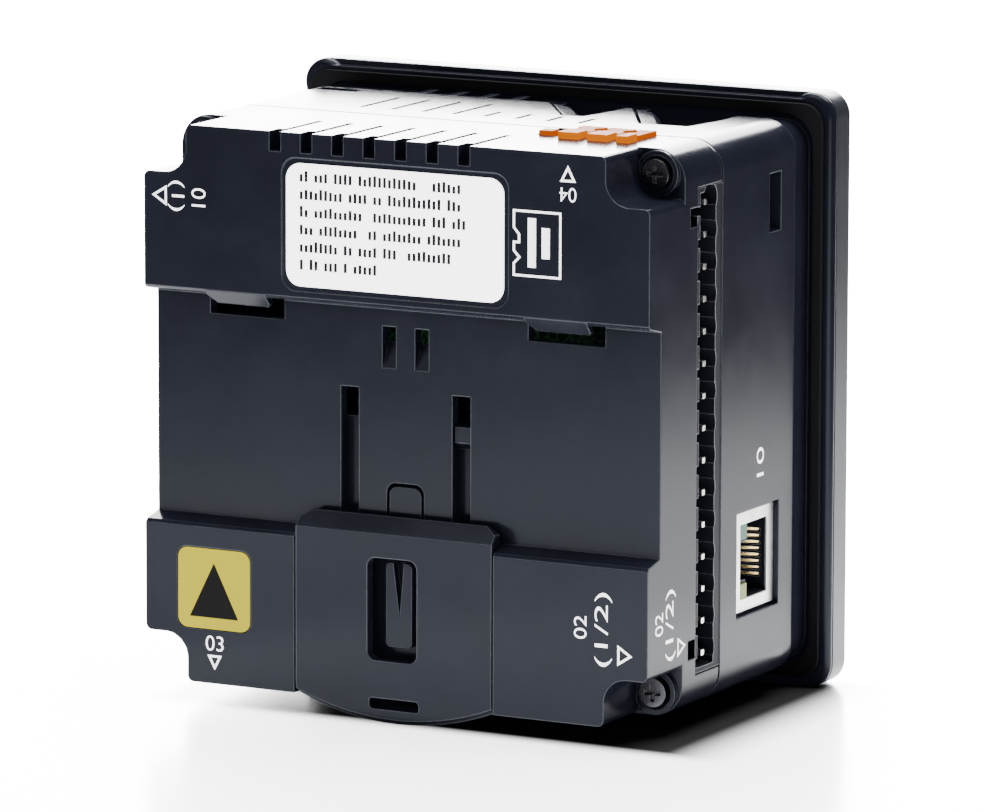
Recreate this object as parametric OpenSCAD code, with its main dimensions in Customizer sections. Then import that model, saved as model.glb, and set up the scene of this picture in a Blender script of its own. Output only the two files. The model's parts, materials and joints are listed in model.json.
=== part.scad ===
// Panel-mounted controller seen from its wiring side: two moulded shells behind a
// square front bezel, with a rail channel and its sliding clip across the back.
// Every shape is drawn with y = 0 on the rear face and z = 0 under the housing;
// seat() then moves it to the frame of the part, which stands on its lower edge.

/* [Housing] */
// Width of the housing behind the bezel
body_w = 89.2; // [88:0.2:92]
// Height of the housing behind the bezel
body_h = 89; // [88:0.2:92]
// Depth of the rear cover, from the rear face to the seam
rear_d = 25.1; // [24.6:0.1:28]
// Depth of the front housing, from the seam to the back of its flange
front_d = 32.4; // [32:0.1:36]
// Radius of the four long corners of the housing
body_r = 5; // [3:0.25:6]
// Wall thickness of both shells
wall = 2; // [1.6:0.1:2.4]
// Depth of the neck between the side walls and the flange
neck_d = 6.8; // [5:0.2:7]
// How far the neck lies inside the side walls
neck_in = 0.9; // [0.5:0.1:1.2]
// Width and depth of the groove along the seam
seam_groove = 0.5; // [0.2:0.05:0.6]

/* [Bezel] */
// How far the front stands out past the housing at each side
flange_out_x = 3.4; // [2.8:0.1:4]
// How far the front stands out past the housing above and below
flange_out_z = 3.5; // [2.8:0.1:4]
// Corner radius of the front
bezel_r = 4; // [2:0.25:6]
// Thickness of the flange of the front housing
flange_t = 1.2; // [1.1:0.1:1.6]
// Radius of the flange's rear edge
edge_r = 1; // [0.5:0.1:1]
// Thickness of the front bezel
bezel_t = 4.8; // [4.4:0.1:6]
// Width of the groove between the flange and the bezel
bezel_groove = 0.35; // [0.2:0.05:0.6]
// Thickness of the gasket that meets the panel
gasket_t = 0.8; // [0.5:0.1:1.5]
// How far the gasket reaches out past the housing
gasket_out = 1.8; // [1.4:0.1:2.2]

/* [Screen] */
// Distance from the window in the overlay to each side of the front
window_side = 12.5; // [11.5:0.25:14]
// Distance from the window to the top of the front
window_top = 13.25; // [12.5:0.25:15]
// Distance from the window to the bottom of the front
window_low = 29.25; // [27:0.25:31]
// Margin of the bezel round the printed overlay
overlay_in = 4; // [3:0.25:5]
// Thickness of the printed overlay
overlay_t = 0.5; // [0.3:0.05:0.7]
// Height of the embossed keys
key_rise = 0.35; // [0.2:0.05:0.5]
// Thickness of the touch panel
touch_t = 1.4; // [1:0.1:1.8]
// Thickness of the display module
lcd_t = 4; // [3:0.25:5]
// Number of keys under the window
key_count = 5; // [3:1:6]
// Width of a key
key_w = 11; // [9:0.5:12]
// Height of a key
key_h = 8; // [6:0.5:9]

/* [Rail channel] */
// Height of the mounting rail that the channel takes
rail_h = 35; // [34.6:0.1:35.4]
// Space above and below the rail in the channel
rail_gap = 0.2; // [0.1:0.05:0.4]
// Depth of the channel below the rear face
channel_d = 4.1; // [3.9:0.1:4.6]
// How far the rail's centre lies below the centre of the housing
rail_drop = 0.4; // [0:0.1:1]
// How far the channel opens out towards the rear face, above and below
lead_in = 0.95; // [0.5:0.05:1.2]
// Chamfer along the channel's edges in the rear face
channel_edge = 0.5; // [0.2:0.05:0.8]
// How far the fixed hooks reach over the channel
hook_reach = 1; // [0.8:0.1:1.3]
// Width of each fixed hook over the rail's upper edge
hook_w = 10.8; // [9:0.2:12]
// Distance between the centres of the two fixed hooks
hook_pitch = 56.6; // [52:0.2:60]

/* [Rail clip] */
// Width of the sliding clip
clip_w = 34.8; // [32:0.2:36]
// Gap on each side of the clip
clip_gap = 0.3; // [0.2:0.05:0.5]
// Thickness of the clip's face
clip_t = 1.8; // [1.5:0.1:2]
// Distance that the clip slides down to free the rail
clip_travel = 3.2; // [2.8:0.1:3.4]
// Clearance between the clip and the pieces that it slides on
slide_gap = 0.2; // [0.15:0.05:0.3]
// Width of the two long slots that the clip's legs run in
leg_slot_w = 3.2; // [3:0.1:4]
// Distance between the two long slots
leg_pitch = 19.8; // [18:0.2:22]

/* [Corner screws] */
// Shank diameter of the housing screws
screw_d = 2.5; // [2.2:0.1:2.8]
// Head diameter of the housing screws
head_d = 4.6; // [4.2:0.1:5]
// Distance from the side of the housing to the screws
screw_in_x = 4.5; // [4.3:0.1:5]
// Distance from the top or bottom of the housing to the screws
screw_in_z = 3.8; // [3.6:0.1:4.2]
// Width of the corner notches over the screws
notch_w = 7.6; // [7:0.1:8.4]
// Height of the corner notches over the screws
notch_h = 7.7; // [7:0.1:8.4]
// Depth of the corner notches below the rear face
notch_d = 12; // [11.5:0.1:12.5]
// Depth of the screw bosses in the notches below the rear face
boss_y = 11.3; // [10.8:0.1:11.5]
// Radius in the inner corner of a notch
notch_r = 4; // [2:0.25:5]

/* [Terminals] */
// Distance between neighbouring pins
pitch = 5.08; // [5:0.01:5.08]
// Space left above and below the pins of a side header
side_margin = 6.2; // [5:0.1:7]
// Number of pins in the top and bottom headers
end_pins = 3; // [2:1:3]
// Height of a header above its board
header_h = 8.5; // [8:0.1:8.5]
// Wall thickness of the headers
header_wall = 0.8; // [0.6:0.05:1]
// Width of a pin
pin_w = 0.9; // [0.8:0.05:1]
// Distance of the top header's centre from the side of the housing
end_header_in = 19.7; // [18.8:0.1:20.6]
// How far the plug comes out of the top wall
plug_proud = 0.7; // [0.3:0.1:1]
// Distance that the plug pulls out
plug_travel = 8; // [7:0.5:9]
// Distance that a release button goes down
button_travel = 1.2; // [0.8:0.1:1.4]

/* [Network jack] */
// Width of the jack, along the height of the housing
jack_w = 15.9; // [15.5:0.1:16.2]
// Height of the jack above the main board
jack_h = 13.3; // [13:0.1:13.5]
// Depth of the jack
jack_d = 16; // [14:0.5:18]
// Height of the jack's centre above the bottom of the housing
jack_z = 20.7; // [20:0.1:22]
// How far the jack's face lies below the side wall
jack_in = 1; // [0.8:0.1:1.2]

/* [Boards] */
// Thickness of the circuit boards
board_t = 1.6; // [1.2:0.1:1.8]
// Distance from the seam to the rear side of the main board
board_gap = 20.7; // [20.5:0.1:21]
// Diameter of the hexagonal spacers, across the flats
spacer_d = 5; // [4.5:0.1:6]
// Radial clearance of a screw in its hole
screw_fit = 0.05; // [0.03:0.01:0.1]

/* [Vents] */
// Distance between neighbouring vents
vent_pitch = 5.57; // [5:0.01:5.7]
// Width of a vent's notch in the rear face
rear_vent_w = 2; // [1.6:0.1:2.4]
// Width of a vent's slit in the top of the rear cover
rear_slit_w = 0.9; // [0.6:0.1:1.2]
// Width of a vent in the front housing
front_vent_w = 0.8; // [0.6:0.1:1.2]

/* [Hidden] */
$fn = 48;
eps = 0.01;
depth = rear_d + front_d + flange_t + bezel_t;
bezel_w = body_w + 2 * flange_out_x;
bezel_h = body_h + 2 * flange_out_z;
window_w = bezel_w - 2 * window_side;
window_h = bezel_h - window_top - window_low;
mid_z = body_h / 2;
window_z = mid_z + (window_low - window_top) / 2;
key_z = 14.5 - flange_out_z;
side_x = body_w / 2;
front_y = rear_d + front_d;
neck_y = front_y - neck_d;
inner_w = body_w - 2 * wall;
inner_h = body_h - 2 * wall;
bore_w = inner_w - 2 * neck_in;
bore_h = inner_h - 2 * neck_in;
rail_z = mid_z - rail_drop;
floor_lo = rail_z - rail_h / 2 - rail_gap;
floor_hi = rail_z + rail_h / 2 + rail_gap;
floor_y = channel_d + wall;
latch_x = 2.9;
latch_w = 2.4;
latch_lo = floor_hi - 9.4;
hook_pocket = 1.3;
bay_w = clip_w + 2 * clip_gap;
clip_hollow_hi = floor_lo - 1.2;
leg_lo = 15;
leg_hi = 25;
strip_hi = 44;
strip_t = 1.3;
slot_hi = 49;
notch_edge_r = 1;
screw_x = side_x - screw_in_x;
tower_r = 3.6;
seat_d = boss_y + 0.8;
screw_len = rear_d - seat_d + 9;
io_y = rear_d;
main_y = rear_d + board_gap;
side_pins = floor((body_h - 2 * side_margin) / pitch);
side_len = side_pins * pitch + 2 * header_wall - 1.5;
side_lo = mid_z - 0.2 - side_len / 2;
header_y = rear_d - header_h;
slot_gap = 0.2;
side_header_d = 9;
pin_tail = 1;
side_header_in = 0.1;
pin_in = 0.8;
end_len = end_pins * pitch + 2 * header_wall;
end_header_x = side_x - end_header_in;
plug_x0 = end_header_x - end_len / 2;
plug_x1 = end_header_x + end_len / 2;
plug_hi = body_h + plug_proud;
plug_split = body_h - 5.2;
end_header_lo = plug_split - plug_travel + 0.2;
tab_w = 2.5;
tab_gap = 1.3;
button_w = 3.4;
button_x = 1.3;
button_y = header_y - 2;
button_l = 3.6;
button_h = 4.6;
button_rise = 0.35;
button_gap = 0.15;
jack_face = side_x - jack_in;
jack_y = main_y - jack_h / 2;
jack_view = 1.7;
led_y = -3.85;
led_z = 4.75;
post_lo = 19;
post_mid = 36;
post_hi = body_h - post_lo;
post_xz = [
    [14.6 - side_x, post_lo], [side_x - 21.1, post_mid],
    [14.6 - side_x, post_hi], [side_x - 33.6, post_hi]
];
post_r = 3.2;
card_x = side_x - 20.1;
card_w = 13;
tray_d = 3.8;
tray_t = 1;
cell_x = 21.6 - side_x;
cell_z = mid_z + 6.5;
chip_z = mid_z + 0.5;
capacitor_z = post_mid - 6;
capacitor_r = 4;
capacitor_h = 11;
tray_x = side_x - 43.8;
sign_x = 12.4 - side_x;
power_x = side_x - 18.6;
power_len = 3 * pitch;
overlay_y = depth - overlay_t - key_rise - 0.15;
link_split = io_y + board_t + (board_gap - board_t) * 0.55;
shield_t = 0.3;
label_t = 0.2;
label_margin = 0.8;
clip_slant = 7;
clip_bend = 2;
arc_edge = 0.7;
arc_step = 1.2;
arc_r = (clip_w * clip_w / 4 + flange_out_z * flange_out_z) / (2 * flange_out_z);

// Moves a shape from the drawing frame to the frame of the part
module seat() translate([0, -depth / 2, flange_out_z]) children();

// Extrudes a profile in x and z towards the front, from y0
module slab(y0, len) translate([0, y0 + len, 0]) rotate([90, 0, 0]) linear_extrude(len) children();

// Extrudes a profile in y and z to the right, from x0
module side_slab(x0, len) translate([x0, 0, 0]) rotate([90, 0, 90]) linear_extrude(len) children();

// Extrudes a profile in x and y upwards, from z0
module top_slab(z0, len) translate([0, 0, z0]) linear_extrude(len) children();

// Rectangle with round corners, centred
module rounded(w, h, r) {
    square([w - 2 * r, h], center = true);
    square([w, h - 2 * r], center = true);
    for (sx = [-1, 1], sy = [-1, 1])
        translate([sx * (w / 2 - r), sy * (h / 2 - r)]) circle(r);
}

// Rectangle between two corners
module span(x0, y0, x1, y1) translate([x0, y0]) square([x1 - x0, y1 - y0]);

// Box between two corners
module block(x0, y0, z0, x1, y1, z1) translate([x0, y0, z0]) cube([x1 - x0, y1 - y0, z1 - z0]);

// Repeats a shape at the four housing screws
module at_screws()
    for (sx = [-1, 1], z = [screw_in_z, body_h - screw_in_z])
        translate([sx * screw_x, 0, z]) children();

// Repeats a shape at the four board posts
module at_posts() for (p = post_xz) translate([p[0], 0, p[1]]) children();

// Post of the rear cover at p, from the wall or floor behind which it stands
module post(p) {
    y0 = (p[1] > floor_lo && p[1] < floor_hi ? floor_y : wall) - 0.5;
    translate([p[0], 0, p[1]]) rod(y0, rear_d - y0, post_r);
}

// Cylinder that runs towards the front, from y0
module rod(y0, len, r) translate([0, y0 + len, 0]) rotate([90, 0, 0]) cylinder(h = len, r = r);

// Outline of the housing, as wide as the given inset leaves it
module outline(inset) translate([0, mid_z])
    rounded(body_w - 2 * inset, body_h - 2 * inset, body_r - inset / 2);

// Corner notch over a screw, open to the rear and to both sides
module notch_profile() {
    x0 = side_x - notch_w;
    z0 = body_h - notch_h;
    span(x0 + notch_r, z0, side_x + 5, body_h + 5);
    span(x0, z0 + notch_r, side_x + 5, body_h + 5);
    translate([x0 + notch_r, z0 + notch_r]) circle(notch_r);
    difference() {
        span(side_x - notch_edge_r, z0 - notch_edge_r, side_x + 5, z0 + eps);
        translate([side_x - notch_edge_r, z0 - notch_edge_r]) circle(notch_edge_r);
    }
    difference() {
        span(x0 - notch_edge_r, body_h - notch_edge_r, x0 + eps, body_h + 5);
        translate([x0 - notch_edge_r, body_h - notch_edge_r]) circle(notch_edge_r);
    }
}

module four_notches() {
    for (sx = [0, 1], sz = [0, 1])
        mirror([sx, 0]) translate([0, sz * body_h]) mirror([0, sz]) notch_profile();
}

// Opening for the sliding rail clip between the lower blocks, with side grooves
module clip_bay() {
    slab(-1, channel_d + 1) span(-bay_w / 2, -1, bay_w / 2, floor_lo + 2);
    groove = bay_w / 2 + 0.9 + slide_gap;
    slab(2, 1.6) span(-groove, -1, groove, 21);
}

// Channel for the rail, opening out to the rear, with a chamfer along both edges
module rail_channel() {
    open = lead_in * (channel_d - channel_edge) / channel_d;
    side_slab(-side_x - 1, body_w + 2) polygon([
        [-1, floor_lo - open - channel_edge - 1], [channel_edge, floor_lo - open], [channel_d, floor_lo],
        [channel_d, floor_hi], [channel_edge, floor_hi + open], [-1, floor_hi + open + channel_edge + 1]
    ]);
}

// Slots through the floor of the channel for the clip's legs, latch and core pins
module floor_slots() {
    for (sx = [-1, 1]) {
        leg_x = sx * leg_pitch / 2;
        pocket_x = sx * hook_pitch / 2;
        pocket_w = hook_w + 2 * hook_pocket;
        slab(channel_d - 1, wall + 2)
            span(leg_x - leg_slot_w / 2, leg_lo - clip_travel - 0.8, leg_x + leg_slot_w / 2, slot_hi);
        slab(channel_d - 1, wall + 2)
            span(sx * latch_x - latch_w / 2, latch_lo, sx * latch_x + latch_w / 2, latch_lo + 6.6);
        slab(channel_d - 1, wall + 2)
            span(pocket_x - pocket_w / 2, floor_hi - 3.1, pocket_x + pocket_w / 2, floor_hi);
    }
    slab(channel_d - 1, wall + 2) difference() {
        translate([0, leg_hi + 4]) rounded(6.6, 10.6, 1.6);
        translate([0, leg_hi + 3.4]) rounded(5.6, 10.6, 1.3);
        span(-4, leg_hi - 5, 4, leg_hi + 1.4);
    }
}

// Hollow of the rear cover, clear of the notches and screw towers
module rear_hollow() {
    corner_x = side_x - notch_w - wall;
    corner_z = notch_h + wall;
    slab(floor_y, notch_d + wall - floor_y + eps) difference() {
        outline(wall);
        for (sx = [-1, 1], z = [0, body_h]) translate([sx * side_x, z])
            square([2 * (side_x - corner_x), 2 * corner_z], center = true);
    }
    slab(notch_d + wall, rear_d - notch_d) difference() {
        outline(wall);
        for (sx = [-1, 1], z = [screw_in_z, body_h - screw_in_z]) {
            translate([sx * screw_x, z]) circle(tower_r);
            translate([sx * (screw_x + 3), z]) square([6, 2 * tower_r], center = true);
            translate([sx * screw_x, z + (z > mid_z ? 3 : -3)]) square([2 * tower_r, 6], center = true);
        }
    }
    slab(wall, floor_y) span(-corner_x, floor_hi + 3.4, corner_x, body_h - 2 * wall);
    for (sx = [0, 1]) mirror([sx, 0, 0])
        slab(wall, floor_y) span(bay_w / 2 + 3.2, wall, corner_x, floor_lo - 3.4);
}

// Cut in the side wall for a side header, with the two keying notches at its edge
module side_slot() {
    len = side_len + 2 * slot_gap;
    lo = side_lo - slot_gap;
    block(side_x - side_header_d - 1, header_y - 0.1, lo, side_x + 1, rear_d + 1, lo + len);
    for (z = [lo + 2.8, lo + len - 6])
        block(side_x - wall - 1, header_y - 2.7, z, side_x + 1, header_y, z + 3);
}

// Cut in the top wall for the plug and its header, with a notch for each release button
module end_slot() {
    x0 = plug_x0 - slot_gap;
    x1 = plug_x1 + slot_gap;
    block(x0, header_y - 0.1, end_header_lo - 1, x1, rear_d + 1, body_h + 1);
    for (i = [1:end_pins]) block(
        button_left(i) - slot_gap, button_y - slot_gap, body_h - wall - 6,
        button_left(i) + button_width(i) + slot_gap, header_y + 1, body_h + 1
    );
}

// Vents across the top edge: a notch in the rear face with a slit in the top behind it
module rear_vents() {
    for (i = [0:6]) {
        x = -22 + i * vent_pitch;
        block(x, -1, body_h - 3.1, x + rear_vent_w, 3, body_h + 1);
        block(x + rear_vent_w - rear_slit_w, 2, body_h - 2 * wall - 1, x + rear_vent_w, 13.8, body_h + 1);
    }
}

// Stop for the clip behind its window, with a tapered groove down its face
module stop_pad() {
    pad_hi = clip_hollow_hi - clip_travel;
    pad_h = pad_hi - 8.6;
    difference() {
        slab(2, channel_d - 2 + 0.5) translate([0, pad_hi - pad_h / 2]) rounded(4.6, pad_h, 0.8);
        slab(1.9, 1.4) polygon([[-1.2, pad_hi + 1.5], [1, pad_hi + 1.5], [0.1, pad_hi - 8.5]]);
    }
}

// Fixed hook over the rail's upper edge, with a slanted rear face
module hook() intersection() {
    side_slab(-hook_w / 2, hook_w) polygon([
        [0.02, floor_hi + 1.2], [1.9, floor_hi - hook_reach], [2.6, floor_hi - hook_reach],
        [2.6, floor_hi + 1.8], [0.02, floor_hi + 1.8]
    ]);
    slab(-1, 5) polygon([
        [-hook_w / 2, floor_hi + 2], [hook_w / 2, floor_hi + 2], [hook_w / 2, floor_hi - hook_reach + 0.4],
        [hook_w / 2 - 0.4, floor_hi - hook_reach], [1.4 - hook_w / 2, floor_hi - hook_reach],
        [-hook_w / 2, floor_hi - hook_reach + 1.4]
    ]);
}

module rear_cover() color("#22222a") seat() {
    difference() {
        union() {
            difference() {
                slab(0, rear_d) outline(0);
                rear_hollow();
                rail_channel();
                clip_bay();
                slab(-1, notch_d + 1) four_notches();
            }
            at_screws() rod(boss_y, notch_d - boss_y + 0.5, tower_r);
            stop_pad();
            for (sx = [-1, 1]) translate([sx * hook_pitch / 2, 0, 0]) hook();
            for (p = post_xz) post(p);
        }
        at_screws() rod(boss_y - 1, seat_d - boss_y + 1, head_d / 2 + 0.5);
        at_screws() rod(seat_d - 1, rear_d, screw_d / 2 + screw_fit);
        at_posts() rod(rear_d - 7, 8, screw_d / 2 + screw_fit);
        floor_slots();
        side_slot();
        mirror([1, 0, 0]) side_slot();
        end_slot();
        rotate_half() end_slot();
        rear_vents();
        slab(-1, label_t + 1) label_place(label_margin);
        slab(-1, label_t + 1) sign_place(0.15);
        slab(rear_d - seam_groove, 1) difference() {
            outline(-1);
            outline(seam_groove);
        }
    }
    for (sx = [-1, 1]) side_slab(sx * latch_x - latch_w / 2, latch_w)
        polygon([[channel_d + 0.2, latch_lo], [floor_y, latch_lo + 4.1], [floor_y, latch_lo]]);
}

// Turns a shape by half a turn about the middle of the rear face
module rotate_half() translate([0, 0, body_h]) rotate([0, 180, 0]) children();

module label_place(gap) translate([0.2, body_h - 14.4]) rounded(38.4 + 2 * gap, 19.4 + 2 * gap, 2.5);

module sign_place(gap) translate([sign_x, floor_lo - 11.2]) rounded(13 + 2 * gap, 12.9 + 2 * gap, 1.7);

module white_label() color("#f4f4f2") seat() slab(0, label_t) label_place(0);

module yellow_label() color("#f2d21c") seat() slab(0, label_t) sign_place(0);

// Sunken tray in the top wall, whose near side slants away from the flange
module tray_profile(x0, x1, near, near_x, grow)
    polygon([
        [x0 - grow, front_y], [x0 - grow, neck_y - grow], [near_x - grow, near - grow],
        [x1 - 1.5 + grow, near + 0.6 - grow], [x1 + grow, near + 10], [x1 + grow, front_y]
    ]);

module trays(grow) {
    tray_profile(tray_x, tray_x + 13.8, rear_d + 13, tray_x + 8.7, grow);
    tray_profile(tray_x + 15, tray_x + 33.6, rear_d + 10.5, tray_x + 23.7, grow);
}

// Ramp inside a tray along its slanting side, behind a narrow slit
module tray_ramp(x0, near, near_x) {
    run = [near_x - x0, near - neck_y];
    translate([x0, neck_y, body_h]) rotate([0, 0, atan2(run[1], run[0])])
        side_slab(0, norm(run) - 1.5) polygon([
            [0.6, -0.15], [3, -0.5], [4.2, -1.6], [4.6, -tray_d - tray_t / 2], [0.6, -tray_d - tray_t / 2]
        ]);
}

// Flange with its rear edge rounded
module round_flange() {
    w = bezel_w - 2 * bezel_r;
    h = bezel_h - 2 * bezel_r;
    slab(front_y + edge_r, flange_t - edge_r) translate([0, mid_z]) rounded(bezel_w, bezel_h, bezel_r);
    slab(front_y, flange_t) translate([0, mid_z])
        rounded(bezel_w - 2 * edge_r, bezel_h - 2 * edge_r, bezel_r - edge_r);
    intersection() {
        slab(front_y, flange_t) translate([0, mid_z]) square([bezel_w, bezel_h], center = true);
        translate([0, front_y + edge_r, mid_z]) union() {
            for (sz = [-1, 1]) translate([-w / 2, 0, sz * (bezel_h / 2 - edge_r)]) rotate([0, 90, 0])
                cylinder(h = w, r = edge_r);
            for (sx = [-1, 1]) translate([sx * (bezel_w / 2 - edge_r), 0, -h / 2])
                cylinder(h = h, r = edge_r);
            for (sx = [-1, 1], sz = [-1, 1]) translate([sx * w / 2, 0, sz * h / 2]) rotate([90, 0, 0])
                rotate_extrude() translate([bezel_r - edge_r, 0]) circle(edge_r);
        }
    }
}

module front_housing() color("#1d1d24") seat() difference() {
    union() {
        difference() {
            union() {
                slab(rear_d, neck_y - rear_d) outline(0);
                slab(neck_y - eps, neck_d + 2 * eps) outline(neck_in);
                round_flange();
                for (i = [0:3]) block(
                    -23.5 + i * vent_pitch, neck_y - 1, body_h - neck_in - 1,
                    -22.2 + i * vent_pitch, front_y - gasket_t - 0.4, body_h - 0.1
                );
            }
            slab(rear_d - 1, depth) translate([0, mid_z]) rounded(bore_w, bore_h, 3);
        }
        at_screws() rod(rear_d, screw_len - rear_d + seat_d + 2, tower_r);
        top_slab(body_h - tray_d - tray_t, tray_d) trays(tray_t);
    }
    at_screws() rod(rear_d - 1, screw_len - rear_d + seat_d + 1.5, screw_d / 2 + screw_fit);
    difference() {
        top_slab(body_h - tray_d, tray_d + 1) trays(0);
        tray_ramp(tray_x, rear_d + 13, tray_x + 8.7);
        tray_ramp(tray_x + 15, rear_d + 10.5, tray_x + 23.7);
    }
    top_slab(body_h - tray_d - 2, 3) span(card_x - 5.8, main_y - 2, card_x + 5.8, main_y - 0.6);
    for (sx = [-1, 1]) block(
        sx * side_x - wall - 1, front_y - 15.9, body_h - 16.7,
        sx * side_x + wall + 1, front_y - 11.7, body_h - 7.4
    );
    for (z = [0, body_h]) block(4.6 - side_x, front_y - 10.5, z - 4, 12.1 - side_x, front_y - 7.9, z + 4);
    for (i = [0:7], z = [0, body_h]) block(
        -22.9 + i * vent_pitch - front_vent_w / 2, rear_d + 6.2, z - 4,
        -22.9 + i * vent_pitch + front_vent_w / 2, rear_d + (i < 4 ? 19 : 11.7), z + 4
    );
    block(
        jack_face - 3, jack_y - jack_h / 2 - jack_view, jack_z - jack_w / 2 - 0.4,
        side_x + 1, main_y, jack_z + jack_w / 2 + 0.5
    );
    block(
        power_x - power_len / 2 - slot_gap, main_y - header_h - slot_gap, -1,
        power_x + power_len / 2 + slot_gap, main_y, wall + neck_in + 1
    );
}

// Front frame with a rim behind that enters the front housing
module front_bezel() color("#4a4a50") seat() difference() {
    union() {
        slab(front_y + flange_t + bezel_groove, bezel_t - bezel_groove) translate([0, mid_z])
            rounded(bezel_w, bezel_h, bezel_r);
        slab(front_y + flange_t, bezel_t) translate([0, mid_z])
            rounded(bezel_w - 2 * bezel_groove, bezel_h - 2 * bezel_groove, bezel_r - bezel_groove);
        slab(front_y + slot_gap, flange_t) translate([0, mid_z])
            rounded(bore_w - 2 * slot_gap, bore_h - 2 * slot_gap, 3 - slot_gap);
    }
    slab(front_y - 1, depth) translate([0, window_z]) rounded(window_w + 6.4, window_h + 9.4, 1.5);
    slab(front_y - 1, flange_t + 1) translate([0, mid_z]) rounded(bore_w - 4, bore_h - 4, 2);
    slab(overlay_y, depth) translate([0, mid_z]) overlay_place(0);
}

// Place of the printed overlay in the bezel, smaller by the given gap
module overlay_place(gap)
    rounded(bezel_w - 2 * (overlay_in + gap), bezel_h - 2 * (overlay_in + gap), 2.2 - gap);

module key_overlay() color("#2b2d33") seat() {
    difference() {
        slab(overlay_y, overlay_t) translate([0, mid_z]) overlay_place(slot_gap);
        slab(overlay_y - 1, 3) translate([0, window_z]) rounded(window_w, window_h, 1);
    }
    for (i = [0:key_count - 1])
        slab(overlay_y + overlay_t - eps, key_rise + eps)
            translate([(i - (key_count - 1) / 2) * (bezel_w - 14) / key_count, key_z])
                rounded(key_w, key_h, 1.5);
}

module touch_panel() color("#10141c") seat()
    slab(overlay_y - touch_t, touch_t) translate([0, window_z])
        rounded(window_w + 6, window_h + 9, 1);

module lcd_module() color("#9a9ca0") seat()
    slab(overlay_y - touch_t - lcd_t, lcd_t) translate([0, window_z])
        rounded(window_w + 5.6, window_h + 8.6, 0.8);

module display_carrier() color("#c9c9c4") seat() {
    y0 = main_y + board_t;
    slab(y0, overlay_y - touch_t - lcd_t - y0) translate([0, window_z]) difference() {
        rounded(window_w + 5, window_h + 8, 1);
        rounded(window_w + 1, window_h + 4, 1);
    }
}

// Rubber ring, whose hole is just larger than the housing that passes through it
module panel_gasket() color("#141416") seat()
    slab(front_y - gasket_t, gasket_t) difference() {
        translate([0, mid_z]) rounded(body_w + 2 * gasket_out, body_h + 2 * gasket_out, 3.5);
        outline(-slot_gap);
    }

// Outline of the clip seen from the rear, with its curved lower edge
module clip_outline() {
    polygon([
        [-clip_w / 2, 0], [clip_w / 2, 0], [clip_w / 2, floor_lo + 1.7], [clip_w / 2 - 2, floor_lo + 2.9],
        [2 - clip_w / 2, floor_lo + 2.9], [-clip_w / 2, floor_lo + 1.7]
    ]);
    intersection() {
        translate([0, arc_r - flange_out_z]) circle(arc_r, $fn = 180);
        span(-clip_w / 2, -flange_out_z - 1, clip_w / 2, 1);
    }
}

// Leg of the clip: a web through the long slot and a springy strip behind the floor
module clip_leg(sx) {
    w = leg_slot_w - 2 * slide_gap;
    x0 = sx * leg_pitch / 2 - w / 2;
    strip_y = floor_y + slide_gap;
    block(x0, clip_t - 0.5, leg_lo, x0 + w, strip_y + 0.5, leg_hi);
    block(x0 - 0.9, strip_y, leg_lo - 1, x0 + w + 0.9, strip_y + strip_t, strip_hi);
    if (sx > 0) side_slab(x0, w) polygon([
        [strip_y + 0.5, strip_hi - 4], [channel_d + 0.6, strip_hi - 2.5], [channel_d + 0.6, strip_hi],
        [strip_y + 0.5, strip_hi]
    ]);
}

// Step along the clip's curved lower edge
module arc_rebate() slab(-1, arc_step + 1) difference() {
    span(-clip_w, -flange_out_z - 2, clip_w, 3);
    translate([0, arc_r - flange_out_z]) circle(arc_r - arc_edge, $fn = 180);
}

module din_clip() color("#26262e") seat() {
    back_y = channel_d - slide_gap / 2;
    slant_z = -flange_out_z - 1;
    slant_y = (clip_bend - slant_z) * tan(clip_slant);
    difference() {
        intersection() {
            slab(0, channel_d) clip_outline();
            side_slab(-clip_w, 2 * clip_w) polygon([
                [0, clip_bend], [slant_y, slant_z], [3.6, slant_z], [back_y, 0], [back_y, floor_lo - 0.3],
                [2.7, floor_lo - 0.3], [2.7, floor_lo + 2.9], [2.2, floor_lo + 2.9], [0, floor_lo + 0.4]
            ]);
        }
        arc_rebate();
        slab(clip_t, channel_d) span(1.8 - clip_w / 2, 2.6, clip_w / 2 - 1.8, clip_hollow_hi);
        slab(-1, channel_d + 2) translate([-0.2, 14.8]) rounded(8.8, 16.4, 1.5);
        slab(-1, channel_d + 2) translate([0, -0.3]) rounded(8.8, 1.8, 0.6);
    }
    for (sx = [-1, 1]) {
        clip_leg(sx);
        x = sx * (clip_w / 2 + 0.3);
        block(x - 0.6, 2 + slide_gap, 5, x + 0.6, 3.6 - slide_gap, 17);
    }
}

// Pan-head screw along y, its head towards the rear, with a cross recess
module pan_screw(y0, len, cross) {
    difference() {
        union() {
            rod(y0 - 1.5, 1.5, head_d / 2);
            rod(y0 - 0.01, len, screw_d / 2);
        }
        for (a = [0, 90]) rotate([0, a, 0])
            block(-cross / 2, y0 - 2, -head_d * 0.3, cross / 2, y0 - 0.7, head_d * 0.3);
    }
}

module housing_screws() color("#17171a") seat() at_screws() pan_screw(seat_d, screw_len, 0.7);

// Circuit board, cut back at its corners round the screw towers
module board(y0, top) {
    slab(y0, board_t) difference() {
        span(0.8 - bore_w / 2, wall + neck_in + 0.8, bore_w / 2 - 0.8, top);
        for (sx = [-1, 1], z = [screw_in_z, body_h - screw_in_z])
            translate([sx * side_x, z])
                square([2 * (screw_in_x + tower_r + 0.6), 2 * tower_r + 1.2], center = true);
    }
}

module io_board() color("#1f5b33") seat() difference() {
    board(io_y, body_h - wall - neck_in - 0.8);
    at_posts() rod(io_y - 1, board_t + 2, screw_d / 2 + 0.2);
}

module main_board() color("#1f5b33") seat() difference() {
    board(main_y, body_h - tray_d - 2);
    at_posts() rod(main_y - 1, board_t + 2, screw_d / 2 + 0.2);
}

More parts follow.
